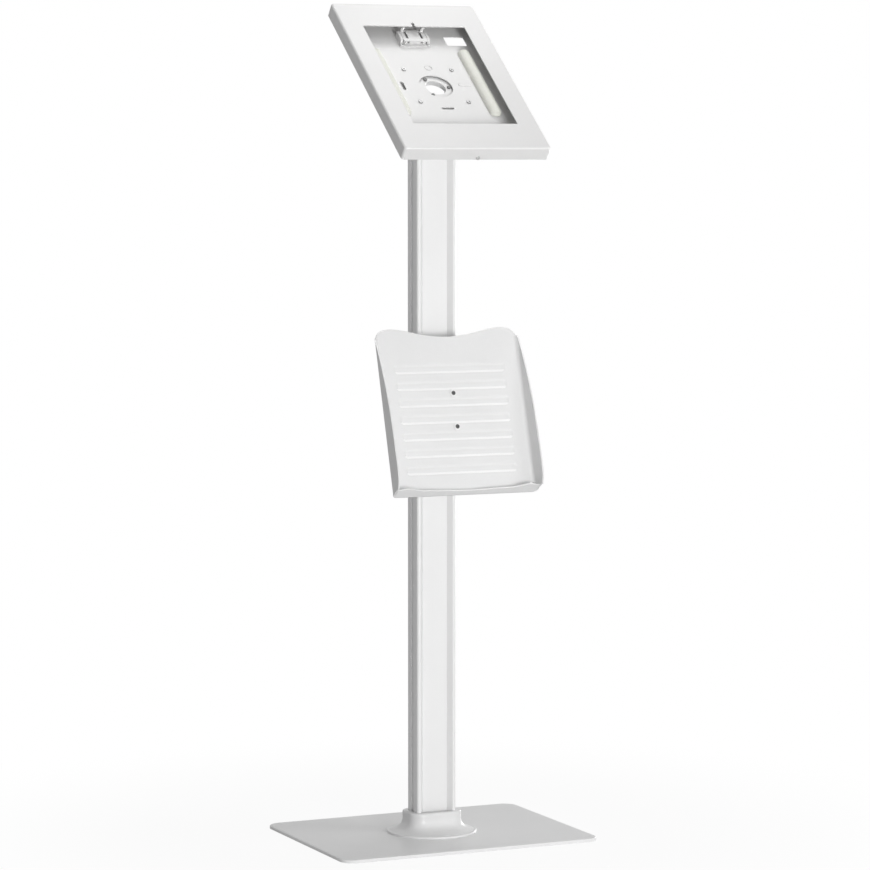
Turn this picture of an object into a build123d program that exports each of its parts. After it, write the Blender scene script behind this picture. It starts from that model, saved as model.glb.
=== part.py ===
# Adjustable tablet floor stand, in millimetres.
# +X is to the right of someone who faces the stand, -Y points at that person and +Z is up.
# The origin is on the floor, on the axis of the column.
import os
from math import cos, radians, sin

from build123d import *

os.makedirs("parts", exist_ok=True)

# Shared clearances
overrun = 2.0
running_clear = 0.05
slide_clear = 0.3
screw_clear = 0.2
face_clear = 0.05

# Base plate and its feet
base_width = 400.0
base_depth = 300.0
base_thick = 4.5
base_corner = 21.0
base_edge_round = 1.8
foot_thick = 0.5
foot_radius = 16.0
foot_inset = 30.0
centre_pad_width = 76.0
centre_pad_depth = 50.0
centre_pad_corner = 8.0
pad_clear = 0.1

# Column extrusion
column_width = 61.2
column_depth = 36.3
column_corner = 3.5
column_length = 1033.0
recess_width = 38.6
recess_depth = 7.5
recess_slope = 5.9
slot_mouth_width = 8.4
slot_mouth_depth = 2.5
slot_cavity_width = 15.0
slot_cavity_depth = 4.5
column_wall = 2.3
side_groove_width = 9.0
side_groove_depth = 2.2
side_groove_round = 0.3
port_radius = 2.6
port_wall = 1.5

# Cover strips of the column
strip_thick = 1.5
strip_leg_thick = 1.0
strip_leg_depth = 3.3
strip_barb = 0.35
strip_gap = 1.0

# Base cover: outline sections from the foot to the neck
cover_wall = 2.2
cover_height = 31.0
cover_radius = 65.1
cover_rim_height = 3.0
cover_rim_step = 1.8
cover_rim_round = 1.4
cover_neck_margin = 7.9
cover_neck_corner = 15.0
cover_neck_round = 2.0
cover_column_clear = 0.3
cover_height_shares = [0.0, 0.06, 0.14, 0.24, 0.36, 0.6, 1.0]
cover_blend_shares = [1.0, 0.86, 0.56, 0.32, 0.17, 0.07, 0.0]
cover_corner_shares = [1.0, 0.86, 0.56, 0.32, 0.17, 0.07, 0.0]

# Screws of the column's two ends
end_screw_radius = 2.4
end_screw_length = 18.0
flat_head_radius = 4.4
flat_head_height = 2.3
end_head_radius = 4.0
end_head_height = 2.6
end_socket_radius = 1.7
end_socket_depth = 1.5

# Column head
head_thick = 7.0
head_edge_round = 1.2
head_ear_thick = 5.0
head_ear_inner = 17.0
head_ear_radius = 8.5
head_ear_foot = 28.0
axis_above_head = 17.5

# Tilt bolt and its washers
bolt_radius = 4.0
bolt_head_across = 13.0
bolt_head_height = 5.3
bolt_tail = 2.0
nut_height = 6.5
friction_washer_thick = 1.0
friction_washer_radius = 8.5
flat_washer_thick = 1.6
flat_washer_radius = 8.0

# Case: front frame and back shell
case_tilt = 51.465
case_standoff = 45.2
case_width = 225.65
case_height = 336.3
case_depth = 21.7
sheet = 1.5
frame_skirt = 20.0
frame_corner = 5.0
frame_edge_round = 3.0
window_width = 160.6
window_top = 115.0
window_bottom = 112.4
window_corner = 0.8
notch_width = 4.5
notch_height = 9.0
shell_clear = 0.2
shell_corner = 11.0
shell_edge_round = 2.0
shell_front_gap = 2.0

# Openings and pressed features in the floor of the shell
hub_hole_radius = 24.8
slot_centre = 51.5
slot_length = 19.5
slot_width = 5.4
camera_left = 52.5
camera_right = 84.5
camera_bottom = 96.3
camera_top = 117.5
camera_corner = 1.5
pressed_rise = 1.1
pressed_edge_width = 0.5
bead_centre = 46.0
bead_up = 3.0
bead_length = 20.0
bead_width = 6.0
ring_aside = 3.0
ring_centre = 42.0
ring_radius = 6.0
ring_width = 1.8

# Case screws on the 75 mm square, with their spacers
vesa_pitch = 75.0
case_screw_radius = 1.9
case_head_radius = 3.3
case_head_height = 1.8
case_socket_radius = 1.4
case_socket_depth = 1.1
spacer_radius = 5.0
spacer_length = 3.3

# Rotation plate and hub
plate_size = 100.0
plate_thick = 2.5
plate_corner = 8.0
plate_bore = 22.7
hub_boss_radius = 22.62
hub_bore_radius = 15.3
hub_relief_radius = 17.8
ring_outer_radius = 26.0
ring_thick = 1.5
ring_screw_circle = 20.4
ring_screw_radius = 1.3
ring_screw_length = 5.0
ring_head_radius = 2.7
ring_head_height = 2.6
ring_socket_radius = 1.1
ring_socket_depth = 1.4
ring_screw_count = 3
friction_ring_thick = 1.0
friction_ring_outer = 26.4
flange_radius = 34.0
flange_thick = 4.0
stop_pin_radius = 2.5
stop_pin_circle = 29.5
stop_pin_angle = 135.0
stop_slot_clear = 0.25
stop_pin_bevel = 0.3
case_turn = 90.0
tilt_ear_thick = 4.0
tilt_ear_radius = 10.0
tilt_ear_foot = 30.0
flange_edge_round = 0.8

# Foam bars
foam_inner = 61.0
foam_width = 18.0
foam_bottom = 69.5
foam_top = 82.0
foam_thick = 8.0
foam_corner = 4.5
foam_edge_round = 3.5

# Tablet clamps, at the top and mirrored at the bottom
clamp_start = 91.0
clamp_bar_width = 49.0
clamp_bar_depth = 5.6
clamp_bar_corner = 1.5
clamp_plate_thick = 1.8
clamp_screw_spread = 42.1
clamp_screw_start = 2.5
clamp_screw_radius = 1.3
clamp_head_radius = 2.6
clamp_head_height = 1.3
clamp_socket_radius = 1.0
clamp_socket_depth = 0.8
clamp_length = 26.4
clamp_rail_inner = 19.0
clamp_rail_width = 4.5
clamp_rail_height = 9.3
clamp_rail_nose = 4.0
clamp_rail_round = 1.2
clamp_web_half = 15.5
clamp_web_thick = 1.5
clamp_web_height = 6.9
clamp_web_hole = 1.8
clamp_web_hole_half = 10.4
jaw_start = 3.8
jaw_length = 25.4
jaw_thick = 1.4
jaw_height = 8.8
jaw_leg_outer = 17.5
jaw_leg_start = 7.0
jaw_slot_half = 11.5
jaw_slot_width = 3.4
jaw_slot_start = 6.3
jaw_slot_end = 23.6
jaw_prong_half = 15.4
jaw_prong_width = 4.2
jaw_prong_start = 22.0
jaw_prong_thick = 2.0
jaw_prong_top = 17.6
jaw_hook_reach = 3.0
jaw_hook_round = 0.7
jaw_corner = 1.5

# Security screw and its captive nut
security_depth = 17.0
security_aside = 3.0
security_radius = 1.5
security_head_radius = 2.85
security_head_height = 1.65
security_socket_radius = 1.2
security_socket_depth = 1.0
security_nut_across = 5.5
security_nut_height = 2.4
security_tail = 0.9
security_slot_clear = 0.4

# Document tray
tray_tilt = 16.54
tray_forward = 83.88
tray_up = 609.11
tray_width = 225.55
tray_sheet = 2.0
tray_fold_radius = 8.0
tray_bottom = 107.8
tray_top = 135.3
tray_wall_depth = 29.6
tray_lip_angle = 18.0
tray_lip_length = 23.2
tray_lip_fold_inner = 4.0
tray_lip_fold_outer = 2.0
tray_lip_lap = 40.0
tray_seam = 0.6
tray_relief_radius = 3.0
tray_relief_inset = 7.0
tray_relief_up = 11.5
tray_edge_u_shares = [0.0, 0.177, 0.32, 0.48, 0.67, 0.816, 0.913, 0.971]
tray_edge_v_shares = [0.903, 0.911, 0.927, 0.956, 0.987, 0.990, 0.965, 0.898]
tray_wall_v_shares = [0.898, 0.888, 0.858, 0.797, 0.74, 0.60, 0.33, 0.0, -0.30, -0.53, -0.68, -0.75]
tray_wall_w_shares = [0.0, 0.108, 0.149, 0.23, 0.314, 0.48, 0.73, 0.92, 0.985, 1.0, 0.92, 0.78]
tray_lip_u_shares = [0.93, 0.77, 0.70, 0.42, 0.22, 0.0]
tray_lip_s_shares = [0.88, 0.94, 0.80, 0.66, 0.575, 0.535]
groove_count = 7
groove_pitch = 24.34
groove_first = 75.8
groove_flat = 7.2
groove_land_width = 10.74
groove_length = 173.0
groove_depth = 1.4
groove_corner = 2.3
tray_screw_lands = [1, 3]
tray_screw_radius = 3.0
tray_head_radius = 5.0
tray_head_height = 2.2
tray_socket_radius = 2.4
tray_socket_depth = 1.5
tray_spacer_radius = 5.0
tray_spacer_length = 3.0
tray_nut_across = 10.0
tray_nut_height = 5.0
tray_screw_tail = 1.5

# Tray bracket
bracket_wall = 3.0
bracket_side_clear = 0.8
bracket_end_length = 14.6
bracket_foot_rise = 13.4
bracket_foot_length = 65.0
slot_screw_pitch = 34.0
t_nut_length = 13.0
t_nut_clear = 0.25

# Worked out from the sizes above
base_top = foot_thick + base_thick
column_top = base_top + column_length
head_top = column_top + head_thick
axis_height = head_top + axis_above_head
recess_floor = column_depth / 2 - recess_depth - strip_thick
port_x = column_width / 2 - port_wall - port_radius
port_y = column_depth / 2 - port_wall - port_radius - side_groove_depth / 2
floor_front = sheet - case_depth
plate_front = -case_depth - spacer_length
plate_rear = plate_front - plate_thick
flange_front = plate_rear - friction_ring_thick
flange_rear = flange_front - flange_thick
head_ear_outer = head_ear_inner + head_ear_thick
tilt_ear_inner = head_ear_outer + friction_washer_thick
tilt_ear_outer = tilt_ear_inner + tilt_ear_thick
shell_width = case_width - 2 * (sheet + shell_clear)
shell_height = case_height - 2 * (sheet + shell_clear)
cover_neck_width = column_width + 2 * cover_neck_margin
cover_neck_depth = column_depth + 2 * cover_neck_margin
bracket_width = recess_width - 2 * bracket_side_clear
bracket_foot_middle = tray_up + bracket_foot_rise
bracket_foot_low = bracket_foot_middle - bracket_foot_length / 2
bracket_foot_high = bracket_foot_middle + bracket_foot_length / 2
groove_slope = (groove_pitch - groove_land_width - groove_flat) / 2

case_plane = Plane(
    origin=(0, -case_standoff * cos(radians(case_tilt)), axis_height + case_standoff * sin(radians(case_tilt))),
    x_dir=(1, 0, 0),
    z_dir=(0, -cos(radians(case_tilt)), sin(radians(case_tilt))),
)
tray_plane = Plane(
    origin=(0, -tray_forward, tray_up),
    x_dir=(1, 0, 0),
    z_dir=(0, -cos(radians(tray_tilt)), sin(radians(tray_tilt))),
)
low_align = (Align.CENTER, Align.CENTER, Align.MIN)
side_view = Plane(origin=(0, 0, 0), x_dir=(0, 1, 0), z_dir=(1, 0, 0))


def save(name, *pieces):
    """Write the solids of one named sub-part."""
    solids = [solid for piece in pieces for solid in piece.solids()]
    shape = solids[0] if len(solids) == 1 else Compound(solids)
    export_step(shape, os.path.join("parts", name + ".step"))


def in_case(shape):
    """Carry a shape from the case's own flat frame to its tilted place."""
    return case_plane.location * shape


def in_tray(shape):
    """Carry a shape from the tray's own flat frame to its tilted place."""
    return tray_plane.location * shape


def slab(width, height, corner, low, high):
    """A rounded rectangle between two heights."""
    return Pos(0, 0, low) * extrude(RectangleRounded(width, height, corner), amount=high - low)


def block(x_low, x_high, y_low, y_high, z_low, z_high):
    """A plain block between six faces."""
    centre = Pos((x_low + x_high) / 2, (y_low + y_high) / 2, z_low)
    return centre * Box(x_high - x_low, y_high - y_low, z_high - z_low, align=low_align)


def rod(radius, low, high):
    """A round rod along Z between two heights."""
    return Pos(0, 0, low) * Cylinder(radius, high - low, align=low_align)


def tube(outer, inner, low, high):
    """A ring or washer along Z between two heights."""
    return rod(outer, low, high) - rod(inner, low - overrun, high + overrun)


def hexagon(across, low, high):
    """A hexagonal bar along Z, given its size across the flats."""
    outline = RegularPolygon(across / 2, 6, major_radius=False)
    return Pos(0, 0, low) * extrude(outline, amount=high - low)


def socket_screw(radius, length, head_radius, head_height, socket_radius, socket_depth):
    """A domed socket screw: its head sits on Z = 0 and its shank points down."""
    head = rod(head_radius, 0, head_height)
    head = fillet(head.edges().group_by(Axis.Z)[-1], head_height / 2)
    socket = hexagon(2 * socket_radius, head_height - socket_depth, head_height + overrun)
    return head + rod(radius, -length, 0) - socket


def mirror_four(x, y):
    """The four corners of a rectangle centred on the origin."""
    return [(side * x, end * y) for side in (-1, 1) for end in (-1, 1)]


def mirrored_points(half_points):
    """An outline's points on the right, followed from the left through the middle."""
    left = [(-x, y) for x, y in reversed(half_points) if x > 0]
    return left + half_points


def make_base_plate():
    plate = slab(base_width, base_depth, base_corner, foot_thick, base_top)
    plate = fillet(plate.edges().group_by(Axis.Z)[-1], base_edge_round)
    for x, y in mirror_four(port_x, port_y):
        hole = rod(end_screw_radius + screw_clear, 0, base_top + overrun)
        sink_low = foot_thick - overrun
        sink = Pos(0, 0, foot_thick) * Cone(
            flat_head_radius + screw_clear, end_screw_radius + screw_clear,
            flat_head_height, align=low_align)
        plate -= Pos(x, y) * (hole + sink + rod(flat_head_radius, sink_low, foot_thick))
    return plate


def make_base_feet():
    x = base_width / 2 - foot_inset
    y = base_depth / 2 - foot_inset
    feet = [Pos(px, py) * rod(foot_radius, 0, foot_thick) for px, py in mirror_four(x, y)]
    feet.append(slab(centre_pad_width, centre_pad_depth, centre_pad_corner, 0, foot_thick))
    return feet


def make_base_screws():
    head_low = foot_thick + pad_clear
    head = Pos(0, 0, head_low) * Cone(
        flat_head_radius - pad_clear, end_screw_radius, flat_head_height, align=low_align)
    screw = head + rod(end_screw_radius, head_low + flat_head_height / 2, base_top + end_screw_length)
    screw -= hexagon(2 * end_socket_radius, head_low - overrun, head_low + end_socket_depth)
    return [Pos(x, y) * screw for x, y in mirror_four(port_x, port_y)]


def recess_outline():
    """The front recess, with its sloped walls and the T-slot in its floor."""
    face = column_depth / 2
    half = recess_width / 2
    mouth = slot_mouth_width / 2
    cavity = slot_cavity_width / 2
    neck = recess_floor - slot_mouth_depth
    deep = neck - slot_cavity_depth
    right = [
        (cavity, -deep),
        (cavity, -neck),
        (mouth, -neck),
        (mouth, -recess_floor),
        (half, -recess_floor),
        (half, -face + recess_depth),
        (half + recess_slope, -face),
        (half + recess_slope, -face - overrun),
    ]
    left = [(-x, y) for x, y in reversed(right)]
    return make_face(Polyline(*right, *left, close=True))


def column_section():
    section = Rectangle(column_width, column_depth)
    section = fillet(section.vertices(), column_corner)
    recess = recess_outline()
    section -= recess
    section -= mirror(recess, about=Plane.XZ)
    groove = Rectangle(2 * side_groove_depth, side_groove_width)
    groove = fillet(groove.vertices(), side_groove_round)
    inner = slot_cavity_width / 2 + column_wall
    outer = column_width / 2 - side_groove_depth - column_wall
    cell_height = 2 * (recess_floor - column_wall)
    for side in (-1, 1):
        section -= Pos(side * column_width / 2, 0) * groove
        section -= Pos(side * (inner + outer) / 2, 0) * Rectangle(outer - inner, cell_height)
    for x, y in mirror_four(port_x, port_y):
        section -= Pos(x, y) * Circle(port_radius)
    return section


def make_column():
    return Pos(0, 0, base_top) * extrude(column_section(), amount=column_length)


def make_strip(low, high):
    """A cover strip that snaps into the mouth of the front T-slot."""
    half = recess_width / 2 - running_clear
    leg = slot_mouth_width / 2 - running_clear
    front = -recess_floor - strip_thick
    tip = -recess_floor + strip_leg_depth
    neck = -recess_floor + slot_mouth_depth + running_clear
    right = [
        (leg - strip_leg_thick, -recess_floor),
        (leg - strip_leg_thick, tip),
        (leg, tip),
        (leg + strip_barb, neck),
        (leg, neck),
        (leg, -recess_floor),
        (half, -recess_floor),
        (half, front),
    ]
    left = [(-x, y) for x, y in reversed(right)]
    outline = make_face(Polyline(*right, *left, close=True))
    return Pos(0, 0, low) * extrude(outline, amount=high - low)


def make_strips():
    low = base_top
    high = column_top
    lower = make_strip(low, bracket_foot_low - strip_gap)
    upper = make_strip(bracket_foot_high + strip_gap, high)
    rear = mirror(make_strip(low, high), about=Plane.XZ)
    return lower, upper, rear


def cover_section(share, corner_share, height, inset):
    """One outline of the base cover, between its round foot and its neck."""
    foot = cover_radius - cover_rim_step
    width = 2 * foot * share + cover_neck_width * (1 - share)
    depth = 2 * foot * share + cover_neck_depth * (1 - share)
    corner = (foot - inset) * corner_share + cover_neck_corner * (1 - corner_share)
    width -= 2 * inset
    depth -= 2 * inset
    corner = min(corner, depth / 2 - running_clear)
    return Pos(0, 0, height) * RectangleRounded(width, depth, corner)


def cover_loft(low, high, inset):
    """The flared body of the base cover, drawn in by the inset."""
    sections = []
    for step, share in enumerate(cover_height_shares):
        height = low + (high - low) * share
        sections.append(cover_section(cover_blend_shares[step], cover_corner_shares[step], height, inset))
    return loft(sections)


def make_base_cover():
    rim_top = base_top + cover_rim_height
    top = base_top + cover_height
    rim = rod(cover_radius, base_top, rim_top)
    rim = fillet(rim.edges().group_by(Axis.Z)[-1], cover_rim_round)
    body = cover_loft(rim_top - cover_rim_height / 2, top, 0)
    body = fillet(body.faces().sort_by(Axis.Z)[-1].edges(), cover_neck_round)
    hollow = cover_loft(base_top - overrun, top - cover_wall, cover_wall)
    passage = slab(
        column_width + 2 * cover_column_clear, column_depth + 2 * cover_column_clear,
        column_corner + cover_column_clear, base_top, top + overrun)
    return rim + body - hollow - passage


def ear_profile(radius, centre, foot_width, foot_height):
    """A rounded ear in the side view: a circle joined to a wider straight foot."""
    circle = Pos(*centre) * Circle(radius)
    foot = Line(
        (centre[0] - foot_width / 2, foot_height), (centre[0] + foot_width / 2, foot_height))
    return make_hull(circle.edges() + [foot])


def make_column_head():
    cap = slab(column_width, column_depth, column_corner, column_top, head_top)
    cap = fillet(cap.edges().group_by(Axis.Z)[-1], head_edge_round)
    outline = ear_profile(head_ear_radius, (0, axis_height), head_ear_foot, head_top - head_edge_round)
    for side in (-1, 1):
        low = head_ear_inner if side > 0 else -head_ear_outer
        cap += Pos(low, 0, 0) * (side_view * extrude(outline, amount=head_ear_thick))
    bore = Pos(0, 0, axis_height) * Rot(0, 90, 0) * Cylinder(
        bolt_radius + running_clear, 2 * (head_ear_outer + overrun))
    cap -= bore
    for x, y in mirror_four(port_x, port_y):
        cap -= Pos(x, y) * rod(end_screw_radius + screw_clear, column_top - overrun, head_top + overrun)
    return cap


def make_head_screws():
    screw = socket_screw(
        end_screw_radius, head_thick + end_screw_length, end_head_radius,
        end_head_height, end_socket_radius, end_socket_depth)
    return [Pos(x, y, head_top) * screw for x, y in mirror_four(port_x, port_y)]


def along_axis(shape):
    """Turn a shape from the Z axis onto the tilt axis, with +Z going to +X."""
    return Pos(0, 0, axis_height) * Rot(0, 90, 0) * shape


def make_tilt_bolt():
    head_face = -tilt_ear_outer - flat_washer_thick
    end = tilt_ear_outer + flat_washer_thick + nut_height + bolt_tail
    head = hexagon(bolt_head_across, head_face - bolt_head_height, head_face)
    return along_axis(head + rod(bolt_radius, head_face, end))


def make_tilt_nut():
    face = tilt_ear_outer + flat_washer_thick
    nut = hexagon(bolt_head_across, face, face + nut_height)
    return along_axis(nut - rod(bolt_radius + running_clear, face - overrun, face + nut_height + overrun))


def make_tilt_washers():
    hole = bolt_radius + screw_clear
    right = tube(flat_washer_radius, hole, tilt_ear_outer, tilt_ear_outer + flat_washer_thick)
    left = tube(flat_washer_radius, hole, -tilt_ear_outer - flat_washer_thick, -tilt_ear_outer)
    return along_axis(right), along_axis(left)


def make_friction_washers():
    hole = bolt_radius + screw_clear
    right = tube(friction_washer_radius, hole, head_ear_outer + face_clear, tilt_ear_inner)
    left = tube(friction_washer_radius, hole, -tilt_ear_inner, -head_ear_outer - face_clear)
    return along_axis(right), along_axis(left)


def ring_screw_places():
    step = 360 / ring_screw_count
    return [Rot(0, 0, step * index) * Pos(ring_screw_circle, 0, 0) for index in range(ring_screw_count)]


def make_tilt_bracket():
    flange = rod(flange_radius, flange_rear, flange_front)
    flange = fillet(flange.edges().group_by(Axis.Z)[0], flange_edge_round)
    bracket = flange + rod(hub_boss_radius, flange_front, plate_front)
    outline = ear_profile(
        tilt_ear_radius, (0, -case_standoff), tilt_ear_foot, flange_rear + flange_edge_round)
    for low in (tilt_ear_inner, -tilt_ear_outer):
        bracket += Pos(low, 0, 0) * (side_view * extrude(outline, amount=tilt_ear_thick))
    bracket -= rod(hub_bore_radius, flange_rear - overrun, plate_front + overrun)
    bracket -= rod(hub_relief_radius, flange_rear - overrun, flange_front)
    bracket -= Pos(0, 0, -case_standoff) * Rot(0, 90, 0) * Cylinder(
        bolt_radius + running_clear, 2 * (tilt_ear_outer + overrun))
    for place in ring_screw_places():
        bracket -= place * rod(
            ring_screw_radius + running_clear, plate_front - ring_screw_length, plate_front + overrun)
    bracket -= Rot(0, 0, stop_pin_angle) * Pos(stop_pin_circle, 0, 0) * rod(
        stop_pin_radius + running_clear, flange_rear - overrun, flange_front + overrun)
    return in_case(bracket)


def make_stop_pin():
    pin = rod(stop_pin_radius, flange_rear, plate_front)
    pin = chamfer(pin.edges().group_by(Axis.Z)[-1], stop_pin_bevel)
    return in_case(Rot(0, 0, stop_pin_angle) * Pos(stop_pin_circle, 0, 0) * pin)


def make_friction_ring():
    return in_case(tube(
        friction_ring_outer, hub_boss_radius + running_clear,
        flange_front, plate_rear - face_clear))


def make_retaining_ring():
    low = plate_front
    ring = tube(ring_outer_radius, hub_bore_radius, low + face_clear, low + ring_thick)
    ring = ring - tube(ring_outer_radius + overrun, hub_boss_radius + running_clear, low, low + face_clear)
    ring += tube(hub_boss_radius, hub_bore_radius, low, low + face_clear)
    for place in ring_screw_places():
        ring -= place * rod(ring_screw_radius + screw_clear, low - overrun, low + ring_thick + overrun)
    return in_case(ring)


def make_ring_screws():
    screw = socket_screw(
        ring_screw_radius, ring_screw_length, ring_head_radius,
        ring_head_height, ring_socket_radius, ring_socket_depth)
    seat = Pos(0, 0, plate_front + ring_thick)
    return [in_case(place * seat * screw) for place in ring_screw_places()]


def make_rotation_plate():
    plate = slab(plate_size, plate_size, plate_corner, plate_rear, plate_front)
    plate -= rod(plate_bore, plate_rear - overrun, plate_front + overrun)
    path = CenterArc((0, 0), stop_pin_circle, stop_pin_angle - case_turn, case_turn)
    slot = SlotArc(path, 2 * (stop_pin_radius + stop_slot_clear))
    plate -= Pos(0, 0, plate_rear - overrun) * extrude(slot, amount=plate_thick + 2 * overrun)
    for x, y in mirror_four(vesa_pitch / 2, vesa_pitch / 2):
        plate -= Pos(x, y) * rod(
            case_screw_radius + running_clear, plate_rear - overrun, plate_front + overrun)
    return in_case(plate)


def make_spacers():
    spacer = tube(spacer_radius, case_screw_radius + screw_clear, plate_front, -case_depth)
    return [in_case(Pos(x, y) * spacer) for x, y in mirror_four(vesa_pitch / 2, vesa_pitch / 2)]


def make_case_screws():
    screw = socket_screw(
        case_screw_radius, floor_front - plate_rear, case_head_radius,
        case_head_height, case_socket_radius, case_socket_depth)
    return [in_case(Pos(x, y, floor_front) * screw) for x, y in mirror_four(vesa_pitch / 2, vesa_pitch / 2)]


def floor_cut(outline):
    """An outline cut through the floor of the back shell."""
    return Pos(0, 0, -case_depth - overrun) * extrude(outline, amount=sheet + 2 * overrun)


def pressed_rib(outline, raised):
    """A rib pressed up out of the shell's floor: what to add in front and what to take behind."""
    front = Pos(0, 0, floor_front - sheet / 2) * extrude(outline, amount=sheet / 2 + pressed_rise)
    front = chamfer(front.edges().group_by(Axis.Z)[-1], pressed_edge_width)
    behind = Pos(0, 0, -case_depth) * extrude(raised, amount=pressed_rise)
    return front, behind


def security_place(edge):
    """The security screw's place at a lower edge, with +Z pointing out of the case."""
    return Pos(security_aside, edge, -security_depth) * Rot(90, 0, 0)


def make_back_shell():
    front = -sheet - shell_front_gap
    shell = slab(shell_width, shell_height, shell_corner, -case_depth, front)
    shell = fillet(shell.edges().group_by(Axis.Z)[0], shell_edge_round)
    inside = slab(
        shell_width - 2 * sheet, shell_height - 2 * sheet, shell_corner - sheet, floor_front, front + overrun)
    inside = fillet(inside.edges().group_by(Axis.Z)[0], shell_edge_round / 2)
    shell -= inside
    shell -= floor_cut(Circle(hub_hole_radius))
    for x, y in mirror_four(vesa_pitch / 2, vesa_pitch / 2):
        shell -= floor_cut(Pos(x, y) * Circle(case_screw_radius + screw_clear))
    shell -= floor_cut(Pos(-slot_centre, 0) * SlotOverall(slot_length, slot_width, rotation=90))
    shell -= floor_cut(Pos(0, -slot_centre) * SlotOverall(slot_length, slot_width))
    camera = RectangleRounded(camera_right - camera_left, camera_top - camera_bottom, camera_corner)
    shell -= floor_cut(Pos((camera_left + camera_right) / 2, (camera_bottom + camera_top) / 2) * camera)
    bead = Pos(bead_centre, bead_up) * SlotOverall(bead_length, bead_width)
    bead_inner = Pos(bead_centre, bead_up) * SlotOverall(bead_length - 2 * sheet, bead_width - 2 * sheet)
    ring_place = Pos(ring_aside, ring_centre)
    ring = ring_place * (Circle(ring_radius) - Circle(ring_radius - ring_width))
    ring_inner = ring_place * (
        Circle(ring_radius - ring_width / 4) - Circle(ring_radius - 3 * ring_width / 4))
    for outline, inner in ((bead, bead_inner), (ring, ring_inner)):
        added, taken = pressed_rib(outline, inner)
        shell = shell + added - taken
    for x, y in clamp_screw_places():
        shell -= floor_cut(Pos(x, y) * Circle(clamp_screw_radius + running_clear))
    half = security_radius + security_slot_clear
    shell -= block(
        security_aside - half, security_aside + half,
        -shell_height / 2 - overrun, -shell_height / 2 + sheet + overrun,
        -security_depth, front + overrun)
    shell -= security_place(-shell_height / 2) * Cylinder(half, 2 * (sheet + overrun))
    return in_case(shell)


def window_outline():
    """The window of the front frame with its camera notch."""
    height = window_top + window_bottom
    window = Pos(0, (window_top - window_bottom) / 2) * RectangleRounded(window_width, height, window_corner)
    notch = Pos(0, window_top) * SlotOverall(2 * notch_height, notch_width, rotation=90)
    return window + notch


def make_front_frame():
    frame_solid = slab(case_width, case_height, frame_corner, -frame_skirt, 0)
    frame_solid = fillet(frame_solid.edges().group_by(Axis.Z)[-1], frame_edge_round)
    inside = slab(
        case_width - 2 * sheet, case_height - 2 * sheet, frame_corner - sheet,
        -frame_skirt - overrun, -sheet)
    inside = fillet(inside.edges().group_by(Axis.Z)[-1], frame_edge_round - sheet)
    frame_solid -= inside
    frame_solid -= Pos(0, 0, -sheet - overrun) * extrude(window_outline(), amount=sheet + 2 * overrun)
    hole = security_place(-case_height / 2) * Cylinder(
        security_radius + running_clear, 2 * (sheet + overrun))
    return in_case(frame_solid - hole)


def make_security_screw():
    length = sheet + shell_clear + sheet + shell_clear + security_nut_height + security_tail
    screw = socket_screw(
        security_radius, length, security_head_radius,
        security_head_height, security_socket_radius, security_socket_depth)
    return in_case(security_place(-case_height / 2) * screw)


def make_security_nut():
    outer = 2 * (sheet + shell_clear)
    nut = hexagon(security_nut_across, -outer - security_nut_height, -outer)
    nut -= rod(security_radius + running_clear, -outer - security_nut_height - overrun, -outer + overrun)
    return in_case(security_place(-case_height / 2) * nut)


def make_foam_bar(side):
    bar = slab(foam_width, foam_bottom + foam_top, foam_corner, floor_front, floor_front + foam_thick)
    bar = fillet(bar.edges().group_by(Axis.Z)[-1], foam_edge_round)
    middle = side * (foam_inner + foam_width / 2)
    return in_case(Pos(middle, (foam_top - foam_bottom) / 2, 0) * bar)


def clamp_screw_places():
    y = clamp_start + clamp_screw_start
    return mirror_four(clamp_screw_spread / 2, y)


def clamp_frame(side):
    """The place of a clamp: its own +Y runs outwards from its start, its Z = 0 is the shell's floor."""
    turn = Rot(0, 0, 0 if side > 0 else 180)
    return turn * Pos(0, clamp_start, floor_front)


def clamp_rail():
    """The right-hand rail of a clamp: a thick bar with a rounded nose and softened long edges."""
    rail = block(
        clamp_rail_inner, clamp_rail_inner + clamp_rail_width,
        clamp_bar_depth, clamp_length, 0, clamp_rail_height)
    nose = rail.edges().group_by(Axis.Z)[-1].sort_by(Axis.Y)[0]
    rail = fillet(nose, clamp_rail_nose)
    return fillet(rail.edges().filter_by(Axis.Y).group_by(Axis.Z)[-1], clamp_rail_round)


def make_clamp_base(side):
    plate = Pos(0, clamp_bar_depth / 2, 0) * slab(
        clamp_bar_width, clamp_bar_depth, clamp_bar_corner, 0, clamp_plate_thick)
    floor_half = clamp_rail_inner + clamp_rail_width / 2
    plate += block(-floor_half, floor_half, clamp_bar_depth / 2, clamp_length, 0, clamp_plate_thick)
    rail = clamp_rail()
    plate = plate + rail + mirror(rail, about=Plane.YZ)
    web_back = clamp_bar_depth + clamp_web_thick
    plate += block(
        -clamp_web_half, clamp_web_half, clamp_bar_depth, web_back,
        clamp_plate_thick / 2, clamp_web_height)
    hole_height = (clamp_plate_thick + clamp_web_height) / 2
    for x in (-clamp_web_hole_half, clamp_web_hole_half):
        plate -= Pos(x, web_back, hole_height) * Rot(90, 0, 0) * rod(
            clamp_web_hole, -overrun, clamp_web_thick + overrun)
    for x in (-clamp_screw_spread / 2, clamp_screw_spread / 2):
        plate -= Pos(x, clamp_screw_start) * rod(
            clamp_screw_radius + screw_clear, -overrun, clamp_plate_thick + overrun)
    return in_case(clamp_frame(side) * plate)


def make_clamp_screws(side):
    screw = socket_screw(
        clamp_screw_radius, clamp_plate_thick + sheet, clamp_head_radius,
        clamp_head_height, clamp_socket_radius, clamp_socket_depth)
    place = clamp_frame(side)
    return [
        in_case(place * Pos(x, clamp_screw_start, clamp_plate_thick) * screw)
        for x in (-clamp_screw_spread / 2, clamp_screw_spread / 2)]


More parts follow.
